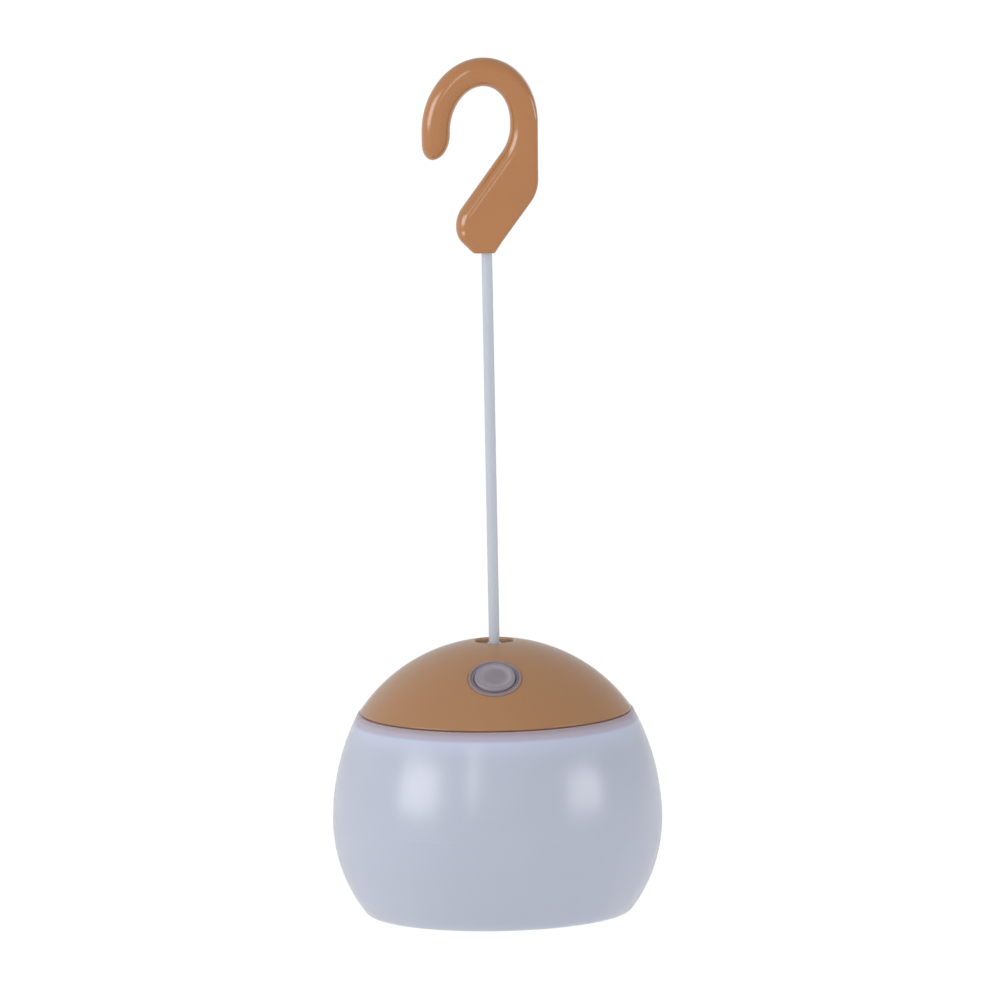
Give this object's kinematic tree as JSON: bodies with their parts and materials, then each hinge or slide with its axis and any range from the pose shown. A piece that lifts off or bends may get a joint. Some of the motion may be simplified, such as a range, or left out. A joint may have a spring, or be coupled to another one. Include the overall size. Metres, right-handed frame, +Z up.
{
  "type": "camping lantern",
  "caption": "Hanging battery lantern with a soft milky globe, a glossy domed cap with a push button, and a straight cord that ends in an open hook.",
  "frame": {"origin": "centre of the flat base, on the surface it stands on", "axes": "+Z up along the cord; -Y is the front, where the push button is; the hook opens towards -X"},
  "size_m": [0.107, 0.107, 0.2807],
  "materials": {
    "cap_plastic": "glossy caramel-brown moulded dome",
    "hook_plastic": "glossy caramel-brown, lightly wavy moulding",
    "globe_silicone": "satin milky translucent silicone",
    "button_silicone": "satin clear-grey silicone",
    "cord_sleeve": "smooth satin white sleeve",
    "seal_rubber": "matte black",
    "white_plastic": "fine-grained white moulding",
    "reflector_white": "bright white sheet",
    "green_board": "green solder mask",
    "led_phosphor": "yellow phosphor",
    "led_lens": "clear moulded lens",
    "cell_wrap": "plain dark sleeve with bright ends",
    "plated_steel": "nickel-plated strip",
    "screw_steel": "zinc-plated",
    "ferrule_metal": "crimped sleeve",
    "black_plastic": "moulded black",
    "wire_sleeve": "thin insulated wire"
  },
  "bodies": {
    "lamp": {"top_cap": "cap_plastic", "seal_ring": "seal_rubber", "chassis": "white_plastic", "chassis_screws": "screw_steel", "reflector_panel": "reflector_white", "cell_front": "cell_wrap", "cell_middle": "cell_wrap", "cell_rear": "cell_wrap", "contact_links": "plated_steel", "positive_tab": "plated_steel", "negative_tab": "plated_steel", "contact_springs": "plated_steel", "led_boards": "reflector_white", "led_chips": "led_phosphor", "led_lenses": "led_lens", "led_screws": "screw_steel", "circuit_board": "green_board", "board_screws": "screw_steel", "driver_chip": "black_plastic", "inductor": "black_plastic", "capacitor": "black_plastic", "battery_leads": "wire_sleeve", "led_leads": "wire_sleeve", "switch_lead": "wire_sleeve", "button_bezel": "button_silicone", "tact_switch": "black_plastic", "switch_board": "green_board", "switch_screws": "screw_steel", "cord_retainer": "cap_plastic", "retainer_screws": "screw_steel", "anchor_pin": "screw_steel"},
    "globe": {"globe": "globe_silicone"},
    "door": {"battery_door": "white_plastic"},
    "button": {"power_button": "button_silicone"},
    "plunger": {"switch_plunger": "black_plastic"},
    "cord": {"cord_eyelet": "cord_sleeve", "cord": "cord_sleeve", "cord_ferrule": "ferrule_metal"},
    "hook": {"hook_front": "hook_plastic", "hook_rear": "hook_plastic"}
  },
  "joints": [
    {"name": "cord_swing", "type": "hinge", "parent": "lamp", "child": "cord", "pos_m": [0, 0, 0.0855], "axis": [0, 1, 0], "range_deg": [-40, 40]},
    {"name": "hook_swivel", "type": "hinge", "parent": "cord", "child": "hook", "pos_m": [0, 0, 0.2211], "axis": [0, 0, 1], "continuous": true},
    {"name": "button_press", "type": "slide", "parent": "lamp", "child": "button", "axis": [0, 0.5299, -0.848], "range_m": [0, 0.0006], "stiffness_N_per_m": 400, "springref_m": -0.001},
    {"name": "plunger_press", "type": "slide", "parent": "lamp", "child": "plunger", "axis": [0, 0.5299, -0.848], "range_m": [0, 0.0006]},
    {"name": "globe_pull", "type": "slide", "parent": "lamp", "child": "globe", "axis": [0, 0, -1], "range_m": [0, 0.07]},
    {"name": "door_lift", "type": "slide", "parent": "lamp", "child": "door", "axis": [0, 0, -1], "range_m": [0, 0.02]}
  ],
  "couplings": [
    {"joint": "plunger_press", "follows": "button_press", "ratio": 1}
  ]
}
